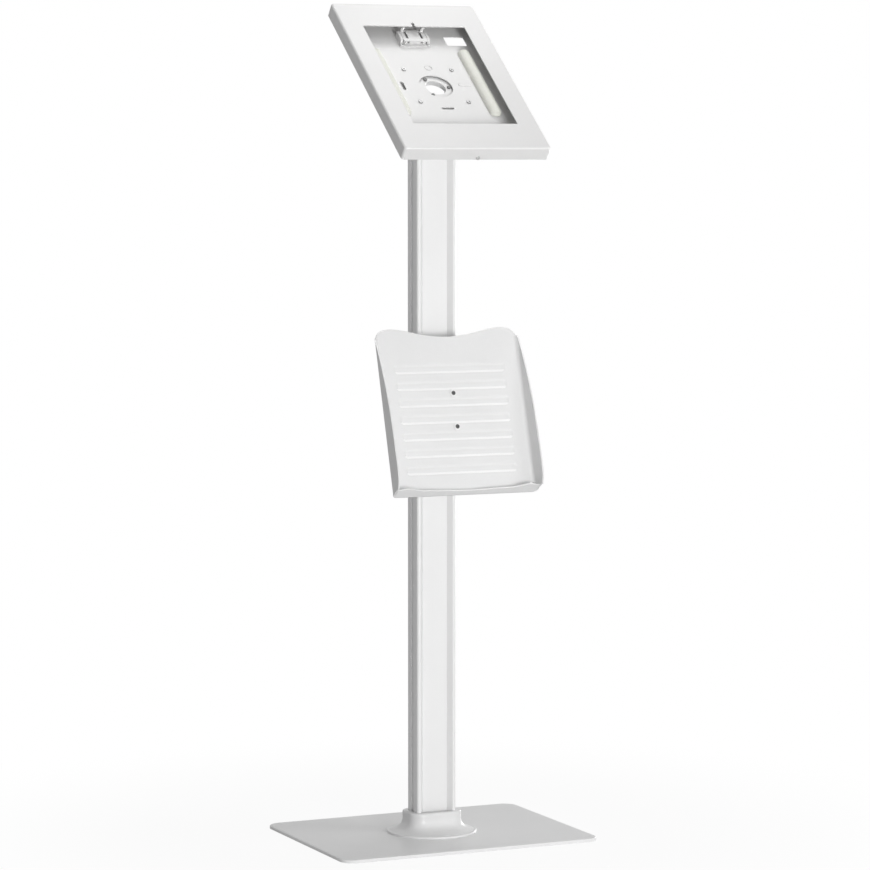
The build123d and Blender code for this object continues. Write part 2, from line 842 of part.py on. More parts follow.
def make_clamp_jaw(side):
    half = clamp_rail_inner - slide_clear
    low = jaw_height - jaw_thick
    jaw = Pos(0, jaw_start + jaw_length / 2) * slab(2 * half, jaw_length, jaw_corner, low, jaw_height)
    end = jaw_start + jaw_length
    leg_low = clamp_plate_thick + face_clear
    for x in (jaw_leg_outer - jaw_thick, -jaw_leg_outer):
        jaw += block(x, x + jaw_thick, jaw_leg_start, end - jaw_corner, leg_low, low + jaw_thick / 2)
    prong_front = jaw_start + jaw_prong_start
    prong_back = prong_front + jaw_prong_thick
    for side_sign in (-1, 1):
        centre = side_sign * jaw_slot_half
        jaw -= block(
            centre - jaw_slot_width / 2, centre + jaw_slot_width / 2,
            jaw_start + jaw_slot_start, jaw_start + jaw_slot_end, low - overrun, jaw_height + overrun)
        left = side_sign * jaw_prong_half - jaw_prong_width / 2
        right = left + jaw_prong_width
        jaw += block(left, right, prong_front, prong_back, low, jaw_prong_top)
        hook = block(
            left, right, prong_front - jaw_hook_reach, prong_back,
            jaw_prong_top - jaw_prong_thick, jaw_prong_top)
        jaw += fillet(hook.edges().filter_by(Axis.X).sort_by(Axis.Y)[:2], jaw_hook_round)
    return in_case(clamp_frame(side) * jaw)


def tray_front_outline():
    """The tray seen from the front: a wavy top edge between rounded shoulders."""
    half = tray_width / 2
    points = [
        (half * u, tray_top * v) for u, v in zip(tray_edge_u_shares, tray_edge_v_shares)]
    full = mirrored_points(points)
    top = Spline(*full)
    shoulder = (half, tray_top * tray_wall_v_shares[0])
    left_shoulder = (-half, shoulder[1])
    edge = Line(full[-1], shoulder)
    foot = Polyline(
        shoulder, (half, -tray_bottom - tray_fold_radius),
        (-half, -tray_bottom - tray_fold_radius), left_shoulder)
    close = Line(left_shoulder, full[0])
    return make_face([top, edge, foot, close])


def lip_point(along, across):
    """A point of the tray's lip in the side view, from its outer fold."""
    angle = radians(tray_lip_angle)
    return (
        -tray_bottom + along * sin(angle) + across * cos(angle),
        -tray_sheet + along * cos(angle) - across * sin(angle))


def tray_wall_outline():
    """A side wall of the tray in the side view: its scooped free edge and its lower end."""
    points = [
        (tray_top * v, tray_wall_depth * w)
        for v, w in zip(tray_wall_v_shares, tray_wall_w_shares)]
    free = Spline(*points)
    low_front = lip_point(tray_lip_length, 0)
    low_back = lip_point(0, 0)
    rest = Polyline(
        points[-1], low_front, low_back, (tray_top + overrun, -tray_sheet),
        (tray_top + overrun, 0), points[0])
    return make_face([free, rest])


def make_tray_pan():
    """The tray's back and side walls, bent from one sheet."""
    half = tray_width / 2
    depth = tray_wall_depth + overrun
    outer = block(-half, half, -tray_bottom, tray_top + overrun, -tray_sheet, depth)
    outer = fillet(outer.edges().filter_by(Axis.Y).group_by(Axis.Z)[0], tray_fold_radius)
    inner = block(
        -half + tray_sheet, half - tray_sheet, -tray_bottom - overrun, tray_top + 2 * overrun, 0, depth + overrun)
    inner = fillet(inner.edges().filter_by(Axis.Y).group_by(Axis.Z)[0], tray_fold_radius - tray_sheet)
    front = Pos(0, 0, -tray_sheet - overrun) * extrude(tray_front_outline(), amount=depth + 3 * overrun)
    side = Pos(-half - overrun, 0, 0) * (side_view * extrude(tray_wall_outline(), amount=tray_width + 2 * overrun))
    return (outer - inner) & front & side, outer


def make_tray_lip(outer):
    """The tray's lower lip: a shelf folded forward, with a hollowed free edge."""
    top_end = -tray_bottom + tray_lip_lap
    outline = make_face(Polyline(
        lip_point(0, 0), lip_point(tray_lip_length, 0), lip_point(tray_lip_length, tray_sheet),
        inner_fold_point(), (top_end, 0), (top_end, -tray_sheet), close=True))
    fold_in = outline.vertices().sort_by_distance((*inner_fold_point(), 0))[0]
    outline = fillet(fold_in, tray_lip_fold_inner)
    fold_out = outline.vertices().sort_by_distance((*lip_point(0, 0), 0))[0]
    outline = fillet(fold_out, tray_lip_fold_outer)
    half = tray_width / 2
    reach = half - tray_sheet - tray_seam
    lip = Pos(-reach, 0, 0) * (side_view * extrude(outline, amount=2 * reach))
    lip &= outer
    points = [(half * u, tray_lip_length * s) for u, s in zip(tray_lip_u_shares, tray_lip_s_shares)]
    free_edge = Spline(*mirrored_points(list(reversed(points))))
    outer_reach = tray_lip_length + overrun
    edge_points = mirrored_points(list(reversed(points)))
    beyond = Polyline(
        edge_points[-1], (half, points[0][1]), (half + overrun, outer_reach),
        (-half - overrun, outer_reach), (-half, points[0][1]), edge_points[0])
    angle = radians(tray_lip_angle)
    lip_plane = Plane(
        origin=(0, *lip_point(0, 0)), x_dir=(1, 0, 0), z_dir=(0, -cos(angle), sin(angle)))
    scoop = extrude(make_face([free_edge, beyond]), amount=tray_sheet + 2 * overrun, both=True)
    return lip - lip_plane * scoop


def inner_fold_point():
    """Where the front of the tray's back meets the top of its lip, in the side view."""
    angle = radians(tray_lip_angle)
    along = (tray_sheet + tray_sheet * sin(angle)) / cos(angle)
    return lip_point(along, tray_sheet)


def tray_screw_places():
    """The tray's screws sit in the middle of the flat lands below two of its grooves."""
    return [(0, groove_first - groove_pitch * (land + 1 / 2)) for land in tray_screw_lands]


def pressed_groove(mouth_height):
    """A groove's block: wide at its mouth and narrower at its floor, one groove depth lower."""
    mouth = RectangleRounded(
        groove_length, groove_flat + 2 * groove_slope, groove_corner + groove_slope)
    floor = RectangleRounded(groove_length - 2 * groove_slope, groove_flat, groove_corner)
    return loft([Pos(0, 0, mouth_height) * mouth, Pos(0, 0, mouth_height - groove_depth) * floor], ruled=True)


def make_tray():
    pan, outer = make_tray_pan()
    tray = pan + make_tray_lip(outer)
    for index in range(groove_count):
        place = Pos(0, groove_first - groove_pitch * index)
        tray = tray + place * pressed_groove(-tray_sheet) - place * pressed_groove(0)
    for x, y in tray_screw_places():
        tray -= Pos(x, y) * rod(tray_screw_radius + screw_clear, -tray_sheet - overrun, overrun)
    relief_x = tray_width / 2 - tray_relief_inset
    for x in (-relief_x, relief_x):
        tray -= Pos(x, tray_relief_up - tray_bottom) * rod(
            tray_relief_radius, -tray_sheet - overrun, tray_fold_radius / 2)
    return in_tray(tray)


def make_tray_screws():
    length = tray_sheet + tray_spacer_length + bracket_wall + tray_nut_height + tray_screw_tail
    screw = socket_screw(
        tray_screw_radius, length, tray_head_radius,
        tray_head_height, tray_socket_radius, tray_socket_depth)
    return [in_tray(Pos(x, y) * screw) for x, y in tray_screw_places()]


def make_tray_spacers():
    spacer = tube(
        tray_spacer_radius, tray_screw_radius + screw_clear,
        -tray_sheet - tray_spacer_length, -tray_sheet)
    return [in_tray(Pos(x, y) * spacer) for x, y in tray_screw_places()]


def make_tray_nuts():
    face = -tray_sheet - tray_spacer_length - bracket_wall
    nut = hexagon(tray_nut_across, face - tray_nut_height, face)
    nut -= rod(tray_screw_radius + running_clear, face - tray_nut_height - overrun, face + overrun)
    return [in_tray(Pos(x, y) * nut) for x, y in tray_screw_places()]


def bracket_point(v, w):
    """A point of the tray's frame in the side view of the whole stand, as Y and Z."""
    point = tray_plane.from_local_coords(Vector(0, v, w))
    return (point.Y, point.Z)


def make_tray_bracket():
    front = -tray_sheet - tray_spacer_length
    half = bracket_width / 2
    screw_heights = [y for x, y in tray_screw_places()]
    low = min(screw_heights) - bracket_end_length
    high = max(screw_heights) + bracket_end_length
    outline = make_face(Polyline(
        bracket_point(low, front), bracket_point(high, front),
        (-recess_floor, bracket_foot_high), (-recess_floor, bracket_foot_low), close=True))
    pocket_back = -recess_floor - bracket_wall
    pocket_front = front - bracket_wall
    beyond = bracket_foot_length
    pocket = make_face(Polyline(
        bracket_point(low - beyond, pocket_front), bracket_point(high + beyond, pocket_front),
        (pocket_back, bracket_foot_high + beyond), (pocket_back, bracket_foot_low - beyond), close=True))
    bracket = Pos(-half, 0, 0) * (side_view * extrude(outline, amount=bracket_width))
    inner = half - bracket_wall
    bracket -= Pos(-inner, 0, 0) * (side_view * extrude(pocket, amount=2 * inner))
    for x, y in tray_screw_places():
        bracket -= in_tray(Pos(x, y) * rod(
            tray_screw_radius + screw_clear, pocket_front - overrun, front + overrun))
    for height in slot_screw_heights():
        bracket -= slot_place(height) * rod(
            tray_screw_radius + screw_clear, -bracket_wall - overrun, overrun)
    return bracket


def slot_screw_heights():
    """The heights of the two screws that hold the tray's bracket to the column."""
    return [bracket_foot_middle - slot_screw_pitch / 2, bracket_foot_middle + slot_screw_pitch / 2]


def slot_place(height):
    """A place on the bracket's inner face, with +Z pointing forward out of the column."""
    return Pos(0, -recess_floor - bracket_wall, height) * Rot(90, 0, 0)


def make_slot_screws():
    length = bracket_wall + slot_mouth_depth + slot_cavity_depth - t_nut_clear
    screw = socket_screw(
        tray_screw_radius, length, tray_head_radius,
        tray_head_height, tray_socket_radius, tray_socket_depth)
    return [slot_place(height) * screw for height in slot_screw_heights()]


def make_t_nuts():
    width = slot_cavity_width - 2 * t_nut_clear
    high = -bracket_wall - slot_mouth_depth
    low = high - slot_cavity_depth + t_nut_clear
    nut = block(-width / 2, width / 2, -t_nut_length / 2, t_nut_length / 2, low, high)
    nut -= rod(tray_screw_radius + running_clear, low - overrun, high + overrun)
    return [slot_place(height) * nut for height in slot_screw_heights()]


save("base_plate", make_base_plate())
save("base_feet", *make_base_feet())
save("base_screws", *make_base_screws())
save("base_cover", make_base_cover())
save("column", make_column())
lower_strip, upper_strip, rear_strip = make_strips()
save("front_strip_lower", lower_strip)
save("front_strip_upper", upper_strip)
save("rear_strip", rear_strip)
save("column_head", make_column_head())
save("head_screws", *make_head_screws())
save("tilt_bracket", make_tilt_bracket())
save("tilt_bolt", make_tilt_bolt())
save("tilt_nut", make_tilt_nut())
save("tilt_washers", *make_tilt_washers())
save("tilt_friction_washers", *make_friction_washers())
save("rotation_stop_pin", make_stop_pin())
save("rotation_friction_ring", make_friction_ring())
save("retaining_ring", make_retaining_ring())
save("ring_screws", *make_ring_screws())
save("rotation_plate", make_rotation_plate())
save("plate_spacers", *make_spacers())
save("case_screws", *make_case_screws())
save("case_back_shell", make_back_shell())
save("case_front_frame", make_front_frame())
save("security_screw", make_security_screw())
save("security_nut", make_security_nut())
for side, hand in ((-1, "left"), (1, "right")):
    save("foam_bar_" + hand, make_foam_bar(side))
for side, place in ((-1, "lower"), (1, "upper")):
    save(place + "_clamp_base", make_clamp_base(side))
    save(place + "_clamp_screws", *make_clamp_screws(side))
    save(place + "_clamp_jaw", make_clamp_jaw(side))
save("tray", make_tray())
save("tray_screws", *make_tray_screws())
save("tray_spacers", *make_tray_spacers())
save("tray_nuts", *make_tray_nuts())
save("tray_bracket", make_tray_bracket())
save("bracket_screws", *make_slot_screws())
save("bracket_t_nuts", *make_t_nuts())
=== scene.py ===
# Adjustable tablet floor stand: finishes, soft pieces, light and camera, in metres.
# +X is to the right of someone who faces the stand, -Y points at that person and +Z is up.
from math import cos, radians, sin

import bmesh
import bpy
from mathutils import Matrix, Vector, noise


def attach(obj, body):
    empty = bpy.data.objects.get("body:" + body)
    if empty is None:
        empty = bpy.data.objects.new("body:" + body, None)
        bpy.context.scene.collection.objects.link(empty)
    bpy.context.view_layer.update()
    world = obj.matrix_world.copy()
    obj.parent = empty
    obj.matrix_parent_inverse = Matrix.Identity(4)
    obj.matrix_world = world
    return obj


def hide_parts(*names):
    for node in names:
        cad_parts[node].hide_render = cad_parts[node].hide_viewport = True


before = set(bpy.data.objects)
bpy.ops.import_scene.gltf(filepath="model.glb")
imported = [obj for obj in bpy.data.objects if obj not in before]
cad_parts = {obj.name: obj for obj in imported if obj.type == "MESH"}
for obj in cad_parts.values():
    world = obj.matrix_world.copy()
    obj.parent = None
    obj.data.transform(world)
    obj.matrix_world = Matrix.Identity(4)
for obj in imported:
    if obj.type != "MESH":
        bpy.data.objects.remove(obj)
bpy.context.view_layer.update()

MM = 0.001
ACROSS = Vector((1, 0, 0))
BACK = Vector((0, 1, 0))
UP = Vector((0, 0, 1))

# The photograph's camera
PHOTO_PIXELS = 870
FOCAL_PIXELS = 3448.19
SENSOR_MM = 36.0
CAMERA_YAW = radians(24.54)
CAMERA_PITCH = radians(4.57)
CAMERA_DISTANCE = 4951.79 * MM
CAMERA_ASIDE = 4.79 * MM
CAMERA_HEIGHT = 977.81 * MM
CAMERA_REACH = 100.0

# The case's own flat frame: its face and its tilt back from upright
CASE_TILT = radians(51.465)
CASE_FACE = Vector((0, -28.16, 1097.86)) * MM
CASE_UP = Vector((0, sin(CASE_TILT), cos(CASE_TILT)))
CASE_OUT = Vector((0, -cos(CASE_TILT), sin(CASE_TILT)))

# The tray's own flat frame and its two screws
TRAY_TILT = radians(16.54)
TRAY_MIDDLE = Vector((0, -83.88, 609.11)) * MM
TRAY_UP = Vector((0, sin(TRAY_TILT), cos(TRAY_TILT)))
TRAY_SCREW_HEIGHTS = (39.29 * MM, -9.39 * MM)
TRAY_SOCKET_EDGE = 3.1 * MM
TRAY_SOCKET_BLUR = 0.3 * MM

# Foam bars, placed in the case's flat frame
FOAM_INNER = 61.0 * MM
FOAM_WIDTH = 18.0 * MM
FOAM_LOW = -69.5 * MM
FOAM_HIGH = 82.0 * MM
FOAM_FLOOR = -20.2 * MM
FOAM_THICK = 8.0 * MM
FOAM_END = 9.0 * MM
FOAM_FULLNESS = 2.4
FOAM_CELL = 1.1 * MM
FOAM_DENT = 0.12 * MM
FOAM_WAVE = 14.0 * MM
FOAM_STEP = 3.0 * MM
FOAM_ROWS = 7

# Rounded normals, and the masks that find edges
BEVEL_SAMPLES = 6
EDGE_START = 0.004
EDGE_FULL = 0.12
FORMED_START = 0.02
FORMED_FULL = 0.16

# Levels of grey that the finishes share, among them the painted highlights on edges and the painted
# light on upward faces
BRIGHTEST_PAINTED_HIGHLIGHT = 0.97
PAINTED_EDGE_HIGHLIGHT_LEVEL = 0.93
PAINTED_UPWARD_LIGHT_LEVEL = 0.95

# Light
STAND_MIDDLE = Vector((0, 0, 0.75))
KEY_DIRECTION = Vector((0.48, -0.40, 0.78))
KEY_DISTANCE = 3.2
KEY_SIZE = 0.9
KEY_POWER = 13.0
FILL_DIRECTION = Vector((0.0, -1.0, -0.0625))
FILL_DISTANCE = 4.0
FILL_SIZE = 1.0
FILL_POWER = 84.0
REAR_DIRECTION = Vector((0.8, 0.6, -0.0625))
REAR_POWER = 46.0
UPPER_PLACE = Vector((0.25, 0.15, 1.95))
UPPER_AIM = Vector((0.0, 0.02, 1.14))
UPPER_SIZE = 0.4
UPPER_POWER = 3.0
AMBIENT = 0.35

# Floor
FLOOR_SIZE = 60.0
FLOOR_SHADOW_SHARE = 0.08
FLOOR_SHADOW_NEAR = 0.28
FLOOR_SHADOW_FAR = 0.9


class Signal:
    """A value inside a finish. Python's operators on it become Math nodes."""

    def __init__(self, finish, socket):
        self.finish = finish
        self.socket = socket

    def math(self, operation, *operands):
        inputs = {index: operand for index, operand in enumerate(operands)}
        return self.finish.node("ShaderNodeMath", inputs, operation=operation)

    def __add__(self, other):
        return self.math("ADD", self, other)

    def __radd__(self, other):
        return self.math("ADD", other, self)

    def __sub__(self, other):
        return self.math("SUBTRACT", self, other)

    def __rsub__(self, other):
        return self.math("SUBTRACT", other, self)

    def __mul__(self, other):
        return self.math("MULTIPLY", self, other)

    def __rmul__(self, other):
        return self.math("MULTIPLY", other, self)

    def __pow__(self, other):
        return self.math("POWER", self, other)

    def size(self):
        return self.math("ABSOLUTE", self)

    def least(self, other):
        return self.math("MINIMUM", self, other)

    def most(self, other):
        return self.math("MAXIMUM", self, other)

    def above(self, low, high):
        """0 below the low value, 1 above the high one, smooth between."""
        inputs = {"Value": self, "From Min": low, "From Max": high}
        return self.finish.node("ShaderNodeMapRange", inputs, interpolation_type="SMOOTHSTEP")


class Graph:
    """A node tree, with one method that adds any node."""

    def __init__(self, tree):
        self.tree = tree

    def node(self, kind, inputs=(), out=0, **settings):
        """Add one node: its settings first, then the values and links of its sockets."""
        made = self.tree.nodes.new(kind)
        for setting, value in settings.items():
            setattr(made, setting, value)
        for socket, value in dict(inputs).items():
            if isinstance(value, Signal):
                self.tree.links.new(value.socket, made.inputs[socket])
            else:
                made.inputs[socket].default_value = value
        return Signal(self, made.outputs[out])

    def show(self, shader, ending):
        """Send a shader to the tree's last node."""
        self.tree.links.new(shader.socket, self.tree.nodes[ending].inputs[0])


class Finish(Graph):
    """A node-based material with one surface shader."""

    def __init__(self, name, **constants):
        self.material = bpy.data.materials.new(name)
        self.material.use_nodes = True
        super().__init__(self.material.node_tree)
        self.shader = self.tree.nodes["Principled BSDF"]
        for socket, value in constants.items():
            self.shader.inputs[socket.replace("_", " ")].default_value = value

    def place(self):
        """The place on the piece, in metres, which moves with the piece."""
        return self.node("ShaderNodeTexCoord", out="Object")

    def stretched(self, scales):
        """The place with each axis scaled, for marks that run along a piece."""
        inputs = {0: self.place(), 1: scales}
        return self.node("ShaderNodeVectorMath", inputs, operation="MULTIPLY")

    def dot(self, first, second):
        """How far one vector runs along the other."""
        inputs = {0: first, 1: second}
        return self.node("ShaderNodeVectorMath", inputs, out="Value", operation="DOT_PRODUCT")

    def noise(self, scale, detail=3.0, roughness=0.5, at=None):
        where = self.place() if at is None else at
        inputs = {"Vector": where, "Scale": scale, "Detail": detail, "Roughness": roughness}
        return self.node("ShaderNodeTexNoise", inputs)

    def cells(self, scale):
        inputs = {"Vector": self.place(), "Scale": scale}
        return self.node("ShaderNodeTexVoronoi", inputs, feature="F1")

    def mix(self, mask, first, second):
        """Blend two colours, or colour signals, by a mask."""
        inputs = {0: mask, 6: first, 7: second}
        return self.node("ShaderNodeMix", inputs, out=2, data_type="RGBA")

    def edges(self, radius):
        """The rounded normal, and a mask that is 1 on edges narrower than the radius."""
        rounded = self.node("ShaderNodeBevel", {"Radius": radius}, samples=BEVEL_SAMPLES)
        flat = self.node("ShaderNodeNewGeometry", out="Normal")
        return rounded, (1 - self.dot(rounded, flat)).above(EDGE_START, EDGE_FULL)

    def formed(self, axes):
        """A mask that is 0 on faces square to the axes and 1 on the rounded edges between them."""
        normal = self.node("ShaderNodeTexCoord", out="Normal")
        squareness = self.dot(normal, axes[0]).size()
        for axis in axes[1:]:
            squareness = squareness.most(self.dot(normal, axis).size())
        return (1 - squareness).above(FORMED_START, FORMED_FULL)

    def rise(self, normal):
        """The height of a normal: 1 on faces that look straight up."""
        return self.node("ShaderNodeSeparateXYZ", {0: normal}, out="Z")

    def relief(self, height, distance, normal=None):
        inputs = {"Height": height, "Distance": distance, "Strength": 1.0}
        if normal is not None:
            inputs["Normal"] = normal
        return self.node("ShaderNodeBump", inputs)

    def wear(self, **signals):
        """Join signals to the surface shader's sockets and return the material."""
        for socket, signal in signals.items():
            self.tree.links.new(signal.socket, self.shader.inputs[socket.replace("_", " ")])
        return self.material


def grey(level, warmth=0.0):
    """A colour near grey, as it is written in linear light."""
    return (level * (1 + warmth), level, level * (1 - warmth), 1.0)


def powder_coat(
        name, level, warmth=0.0, grain=1500.0, depth=0.02, edge=0.5, rough=0.42, painted_upward_light=None, axes=()):
    """Sprayed and baked coating: fine orange peel, faint clouding, painted highlights on the edges.

    The depth of the peel and the radius of the edges are in mm.
    Two heights, if given, add painted light: faces whose rounded normal rises between them are
    lightened, as a lamp from above would light them.
    Axes, if given, add a painted highlight on the rounded edges between the faces that are square to
    them.
    """
    finish = Finish(name, Specular_IOR_Level=0.42)
    rounded, rim = finish.edges(edge * MM)
    cloud = finish.noise(9.0, 4.0)
    fleck = finish.noise(grain * 0.35, 2.0)
    tone = (0.6 * cloud + 0.4 * fleck).above(0.25, 0.75)
    thick_coat = grey(level * 0.975, warmth)
    even_coat = grey(level * 1.015, warmth)
    # The lighter rim is a painted highlight on the edges.
    painted_rim_highlight = grey(min(level * 1.1, BRIGHTEST_PAINTED_HIGHLIGHT), warmth)
    colour = finish.mix(0.35 * rim, finish.mix(tone, thick_coat, even_coat), painted_rim_highlight)
    # Painted light: faces whose rounded normal looks upward between the two heights are lightened.
    if painted_upward_light is not None:
        low, high = painted_upward_light
        rise = finish.rise(rounded)
        painted_light_mask = rise.above(low, low + 0.15) * (1 - rise.above(high - 0.08, high))
        colour = finish.mix(0.9 * painted_light_mask, colour, grey(PAINTED_UPWARD_LIGHT_LEVEL, warmth))
    # Painted highlight: the rounded bends between faces square to the axes are lightened.
    if axes:
        colour = finish.mix(0.5 * finish.formed(axes), colour, grey(PAINTED_EDGE_HIGHLIGHT_LEVEL, warmth))
    peel = finish.noise(grain, 3.0, 0.55)
    normal = finish.relief(peel, depth * MM, rounded)
    roughness = rough - 0.06 + 0.12 * fleck
    return finish.wear(Base_Color=colour, Roughness=roughness, Normal=normal)


def extruded_coat(name, level):
    """Coated extrusion: faint draw lines that run along the column."""
    finish = Finish(name, Specular_IOR_Level=0.45)
    rounded, rim = finish.edges(0.35 * MM)
    draw_lines = (2600.0, 2600.0, 5.0)
    lines = finish.noise(1.0, 3.0, 0.6, finish.stretched(draw_lines))
    cloud = finish.noise(6.0, 3.0)
    tone = (0.5 * lines + 0.5 * cloud).above(0.3, 0.7)
    base = finish.mix(tone, grey(level * 0.98), grey(level * 1.01))
    # The lighter rim is a painted highlight on the edges.
    painted_rim_highlight = grey(min(level * 1.12, BRIGHTEST_PAINTED_HIGHLIGHT))
    colour = finish.mix(0.5 * rim, base, painted_rim_highlight)
    height = 0.5 * lines + 0.5 * finish.noise(1800.0, 2.0)
    normal = finish.relief(height, 0.015 * MM, rounded)
    return finish.wear(Base_Color=colour, Roughness=0.34 + 0.1 * lines, Normal=normal)


def moulded_plastic(name, level):
    """Injection-moulded plastic with a fine spark texture."""
    finish = Finish(name, Specular_IOR_Level=0.5)
    rounded, rim = finish.edges(0.4 * MM)
    spark = finish.noise(2400.0, 2.0, 0.6)
    flow = finish.noise(14.0, 3.0)
    base = finish.mix(flow.above(0.35, 0.65), grey(level * 0.985), grey(level * 1.01))
    # The lighter rim is a painted highlight on the edges.
    polish_and_painted_highlight = grey(min(level * 1.1, 0.95))
    colour = finish.mix(0.3 * rim, base, polish_and_painted_highlight)
    normal = finish.relief(spark, 0.012 * MM, rounded)
    return finish.wear(Base_Color=colour, Roughness=0.3 + 0.12 * spark, Normal=normal)


def zinc_plate(name, level=0.62):
    """Zinc-plated steel: bright, slightly clouded, rubbed along its edges."""
    finish = Finish(name, Metallic=1.0)
    rounded, rim = finish.edges(0.25 * MM)
    cloud = finish.noise(700.0, 4.0, 0.6)
    dull = grey(level * 0.85, 0.01)
    bright = grey(level * 1.08, -0.01)
    rubbed = grey(0.85)
    colour = finish.mix(rim, finish.mix(cloud.above(0.3, 0.7), dull, bright), rubbed)
    normal = finish.relief(finish.noise(3200.0, 2.0), 0.01 * MM, rounded)
    return finish.wear(Base_Color=colour, Roughness=0.26 + 0.2 * cloud - 0.08 * rim, Normal=normal)


def blackened_steel(name):
    """Dark oxide-coated screws with a rubbed socket rim."""
    finish = Finish(name, Specular_IOR_Level=0.5, Metallic=0.7)
    rounded, rim = finish.edges(0.2 * MM)
    cloud = finish.noise(900.0, 3.0)
    base = finish.mix(cloud.above(0.3, 0.7), grey(0.16), grey(0.24))
    rubbed = grey(0.5)
    colour = finish.mix(rim, base, rubbed)
    normal = finish.relief(finish.noise(3000.0, 2.0), 0.01 * MM, rounded)
    return finish.wear(Base_Color=colour, Roughness=0.36 + 0.14 * cloud, Normal=normal)


def coated_screw(name, level):
    """Coated screw heads of the tray: the coat stops at the socket's rim, and the socket is painted
    near-black as painted shade.
    """
    finish = Finish(name, Specular_IOR_Level=0.45)
    rounded, rim = finish.edges(0.3 * MM)
    aside = finish.node("ShaderNodeSeparateXYZ", {0: finish.place()}, out="X")
    up = finish.dot(finish.place(), TRAY_UP)
    first, second = [up - (TRAY_MIDDLE.dot(TRAY_UP) + height) for height in TRAY_SCREW_HEIGHTS]
    near = (first * first).least(second * second)
    away = (aside * aside + near) ** 0.5
    # Inside the socket radius the colour is painted shade: a near-black stands in for the shade deep
    # in the socket.
    coat = away.above(TRAY_SOCKET_EDGE - TRAY_SOCKET_BLUR, TRAY_SOCKET_EDGE + TRAY_SOCKET_BLUR)
    cloud = finish.noise(900.0, 3.0)
    painted_socket_shade = finish.mix(cloud.above(0.3, 0.7), grey(0.07), grey(0.12))
    # The lighter rim on the coated head is a painted highlight.
    coated_head = finish.mix(0.5 * rim, grey(level), grey(PAINTED_EDGE_HIGHLIGHT_LEVEL))
    colour = finish.mix(coat, painted_socket_shade, coated_head)
    normal = finish.relief(finish.noise(2600.0, 2.0), 0.01 * MM, rounded)
    return finish.wear(Base_Color=colour, Roughness=0.36 + 0.1 * cloud, Normal=normal)


def closed_cell_foam(name):
    """Off-white closed-cell foam, faintly green, with its cut cells."""
    finish = Finish(name, Specular_IOR_Level=0.2)
    cell = finish.cells(1 / FOAM_CELL)
    small = finish.cells(3.2 / FOAM_CELL)
    mottle = finish.noise(60.0, 3.0)
    pore = (0.7 * cell + 0.3 * small).above(0.25, 0.75)
    skin = (0.89, 0.895, 0.835, 1)
    hollow = (0.83, 0.835, 0.765, 1)
    pale = (0.89, 0.89, 0.85, 1)
    colour = finish.mix(0.35 * mottle.above(0.4, 0.65), finish.mix(pore, skin, hollow), pale)
    normal = finish.relief(1 - pore, FOAM_DENT)
    return finish.wear(Base_Color=colour, Roughness=0.82 + 0.1 * pore, Normal=normal)


def soft_rubber(name):
    """Black rubber pads with a dusty, finely pitted face."""
    finish = Finish(name, Specular_IOR_Level=0.3)
    rounded, rim = finish.edges(0.4 * MM)
    dust = finish.noise(120.0, 4.0)
    base = finish.mix(dust.above(0.45, 0.7), grey(0.03), grey(0.07))
    scuffed = grey(0.12)
    colour = finish.mix(0.5 * rim, base, scuffed)
    normal = finish.relief(finish.noise(1600.0, 3.0), 0.04 * MM, rounded)
    return finish.wear(Base_Color=colour, Roughness=0.7 + 0.15 * dust, Normal=normal)


def turned_nylon(name):
    """Natural nylon washers and spacers with fine turning marks."""
    finish = Finish(name, Specular_IOR_Level=0.45, Subsurface_Weight=0.1, Subsurface_Scale=2 * MM)
    rounded, rim = finish.edges(0.2 * MM)
    marks = finish.noise(2200.0, 2.0)
    deep = (0.74, 0.73, 0.68, 1)
    high = (0.8, 0.79, 0.75, 1)
    polish_and_painted_highlight = grey(0.88)
    colour = finish.mix(0.4 * rim, finish.mix(marks.above(0.3, 0.7), deep, high), polish_and_painted_highlight)
    normal = finish.relief(marks, 0.02 * MM, rounded)
    return finish.wear(Base_Color=colour, Roughness=0.4 + 0.15 * marks, Normal=normal)


def white_paper(name):
    """White paper floor: seen white, with the stand's shadow kept faint and only near the stand."""
    finish = Finish(name, Base_Color=grey(0.9), Roughness=0.9, Specular_IOR_Level=0.1)
    away = finish.node("ShaderNodeVectorMath", {0: finish.place()}, out="Value", operation="LENGTH")
    share = 1 - FLOOR_SHADOW_SHARE * (1 - away.above(FLOOR_SHADOW_NEAR, FLOOR_SHADOW_FAR))
    seen = finish.node("ShaderNodeLightPath", out="Is Camera Ray")
    glow = finish.node("ShaderNodeEmission", {"Color": grey(1.0), "Strength": 1.0})
    paper = Signal(finish, finish.shader.outputs[0])
    blend = finish.node("ShaderNodeMixShader", {0: seen * share, 1: paper, 2: glow})
    finish.show(blend, "Material Output")
    return finish.material


def dress(material, *names):
    """Give CAD pieces one material."""
    for name in names:
        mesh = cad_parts[name].data
        mesh.materials.clear()
        mesh.materials.append(material)


def case_matrix():
    """The turn and place that carry a flat piece onto the case."""
    turn = Matrix((ACROSS, CASE_UP, CASE_OUT)).transposed()
    return Matrix.Translation(CASE_FACE) @ turn.to_4x4()


def add_piece(name, mesh, material, body):
    """Put a mesh in the scene as a smooth piece that rides on a body."""
    piece = bpy.data.objects.new(name, mesh)
    bpy.context.scene.collection.objects.link(piece)
    mesh.materials.append(material)
    for face in mesh.polygons:
        face.use_smooth = True
    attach(piece, body)
    return piece


